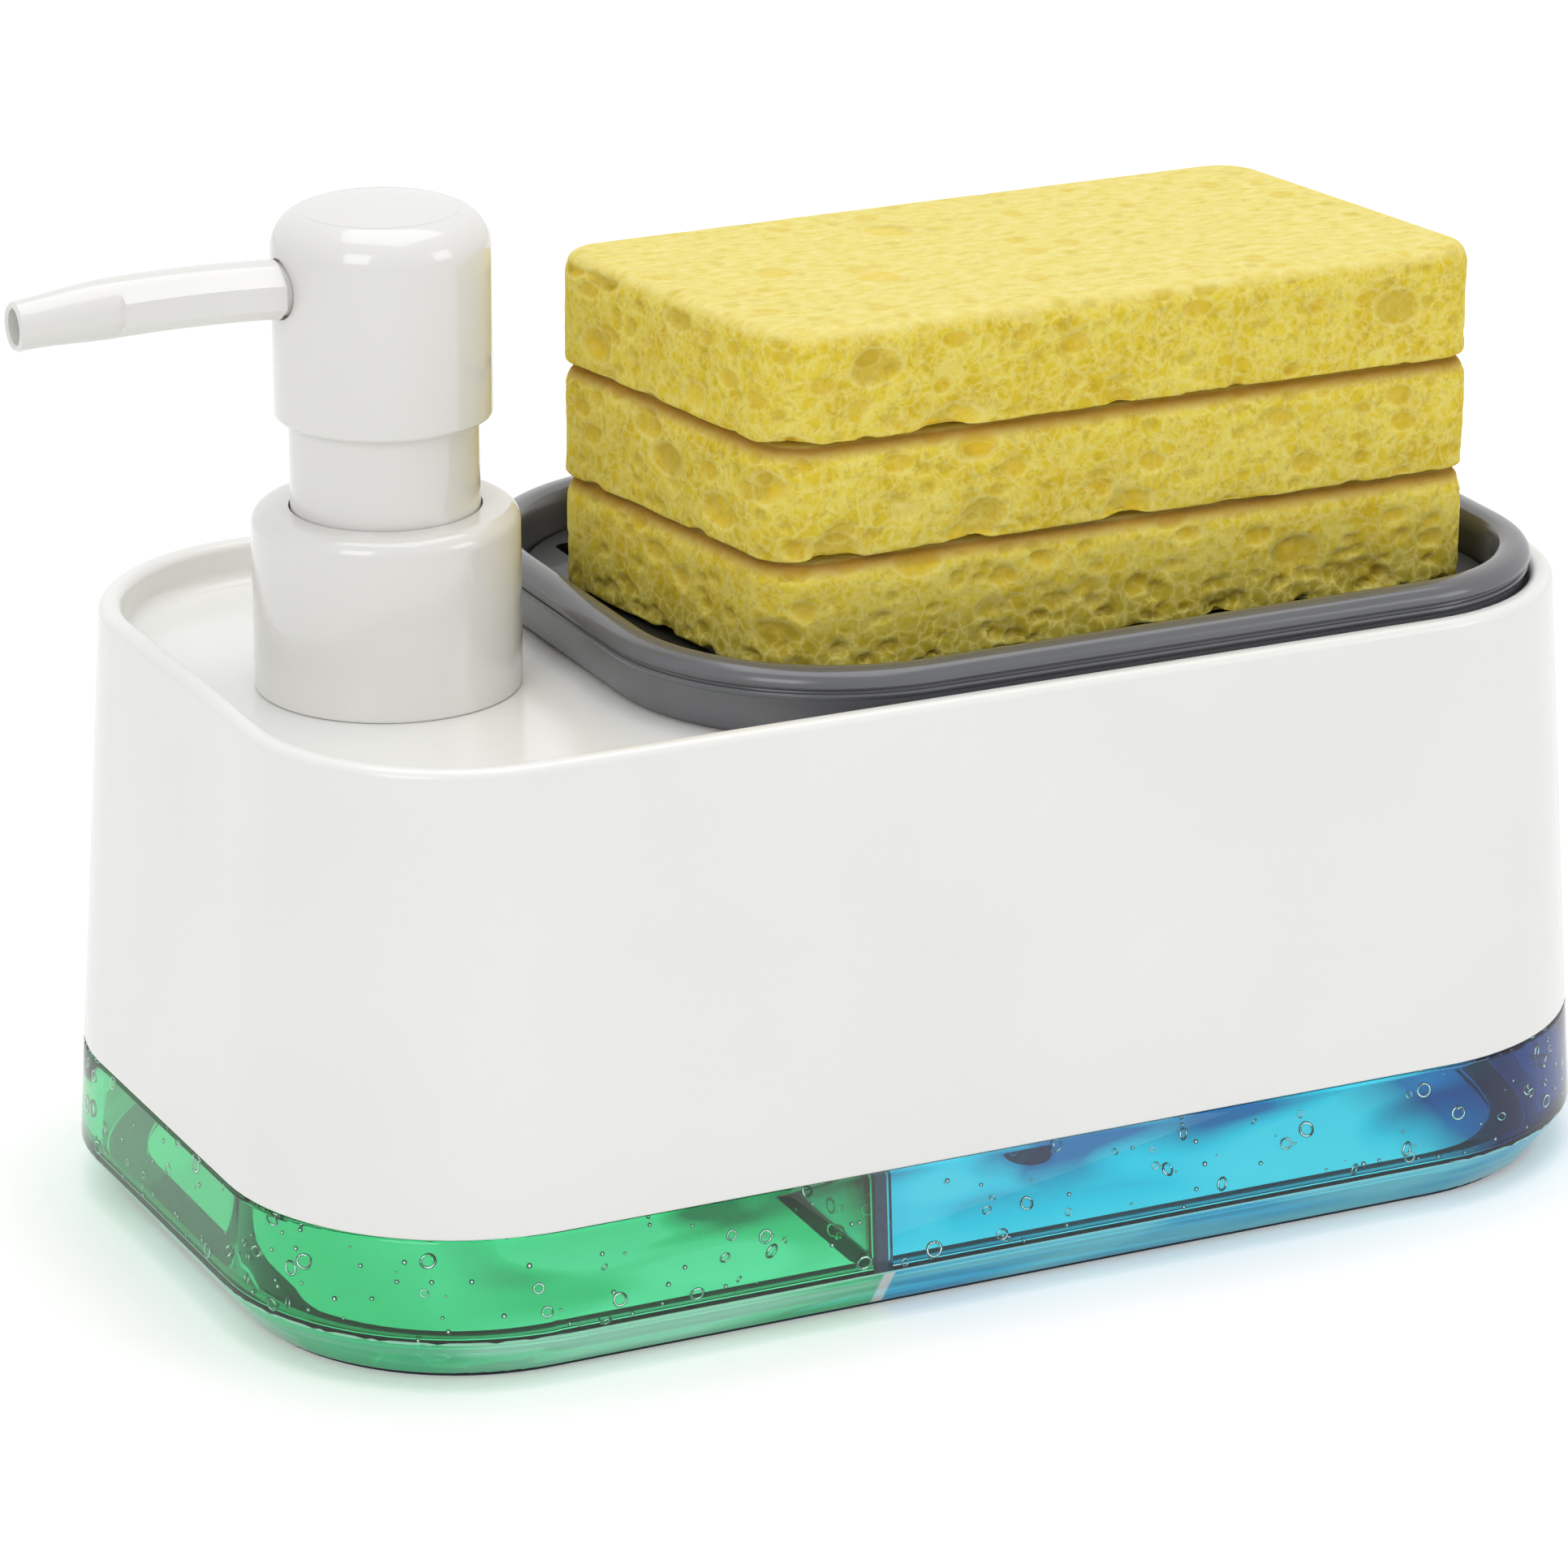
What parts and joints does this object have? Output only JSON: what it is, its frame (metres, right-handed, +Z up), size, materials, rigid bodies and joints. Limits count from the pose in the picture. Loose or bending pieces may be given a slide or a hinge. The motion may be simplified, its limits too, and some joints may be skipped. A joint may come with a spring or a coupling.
{
  "type": "soap pump caddy",
  "caption": "Counter-top caddy with a clear soap tank in two cells, a white housing, a press pump with a side spout and a grey lift-out tray of stacked sponges.",
  "frame": {"origin": "middle of the foot ring's underside, on the surface that the caddy stands on", "axes": "+Z up, +X along the caddy away from the spout, -Y out of the front"},
  "size_m": [0.2173, 0.1166, 0.1446],
  "materials": {
    "white_shell": "glossy",
    "clear_tank": "clear, polished",
    "inner_white": "moulded",
    "green_soap": "clear liquid",
    "blue_soap": "clear liquid",
    "grey_tray": "glossy",
    "yellow_sponge": "porous",
    "dark_rubber": "moulded",
    "stopper_rubber": "moulded",
    "milky_tube": "extruded",
    "spring_steel": "drawn"
  },
  "bodies": {
    "tank": {"foot_ring": "dark_rubber", "tank_tub": "clear_tank", "cell_divider": "clear_tank", "divider_seal": "dark_rubber", "soap_pump_cell": "green_soap", "soap_spare_cell": "blue_soap", "lid_gasket": "dark_rubber", "tank_lid": "inner_white", "housing": "white_shell"},
    "stopper": {"refill_stopper": "stopper_rubber"},
    "pump_unit": {"pump_chamber": "inner_white", "chamber_cap": "inner_white", "guide_sleeve": "white_shell", "neck_gasket": "dark_rubber", "spring_seat": "inner_white", "return_spring": "spring_steel", "dip_tube": "milky_tube"},
    "collar": {"pump_collar": "white_shell"},
    "plunger": {"piston": "dark_rubber"},
    "actuator": {"pump_head": "white_shell", "spout": "white_shell", "pump_stem": "inner_white"},
    "ball": {"inlet_ball": "spring_steel"},
    "tray": {"sponge_tray": "grey_tray"},
    "rack": {"drain_rack": "grey_tray"},
    "lower_sponge": {"sponge_bottom": "yellow_sponge"},
    "middle_sponge": {"sponge_middle": "yellow_sponge"},
    "upper_sponge": {"sponge_top": "yellow_sponge"}
  },
  "joints": [
    {"name": "pump_rise", "type": "slide", "parent": "tank", "child": "pump_unit", "axis": [0, 0, 1], "range_m": [0, 0.0081]},
    {"name": "collar_turn", "type": "hinge", "parent": "pump_unit", "child": "collar", "pos_m": [-0.06505, 0.0018, 0.1032], "axis": [0, 0, 1], "range_deg": [0, 900]},
    {"name": "pump_press", "type": "slide", "parent": "pump_unit", "child": "plunger", "axis": [0, 0, -1], "range_m": [0, 0.011], "stiffness_N_per_m": 800, "springref_m": -0.006, "deforming": ["return_spring"]},
    {"name": "head_swivel", "type": "hinge", "parent": "plunger", "child": "actuator", "pos_m": [-0.06505, 0.0018, 0.1032], "axis": [0, 0, 1], "range_deg": [-110, 110]},
    {"name": "valve_lift", "type": "slide", "parent": "pump_unit", "child": "ball", "axis": [0, 0, 1], "range_m": [0, 0.0012]},
    {"name": "stopper_pull", "type": "slide", "parent": "tank", "child": "stopper", "axis": [0, 0, 1], "range_m": [0, 0.02]},
    {"name": "tray_lift", "type": "slide", "parent": "tank", "child": "tray", "axis": [0, 0, 1], "range_m": [0, 0.05]},
    {"name": "rack_lift", "type": "slide", "parent": "tray", "child": "rack", "axis": [0, 0, 1], "range_m": [0, 0.03]},
    {"name": "lower_sponge_lift", "type": "slide", "parent": "rack", "child": "lower_sponge", "axis": [0, 0, 1], "range_m": [0, 0.03]},
    {"name": "middle_sponge_lift", "type": "slide", "parent": "lower_sponge", "child": "middle_sponge", "axis": [0, 0, 1], "range_m": [0, 0.03]},
    {"name": "upper_sponge_lift", "type": "slide", "parent": "middle_sponge", "child": "upper_sponge", "axis": [0, 0, 1], "range_m": [0, 0.03]}
  ],
  "couplings": [
    {"joint": "pump_rise", "follows": "collar_turn", "m_per_rad": 0.0005093}
  ]
}
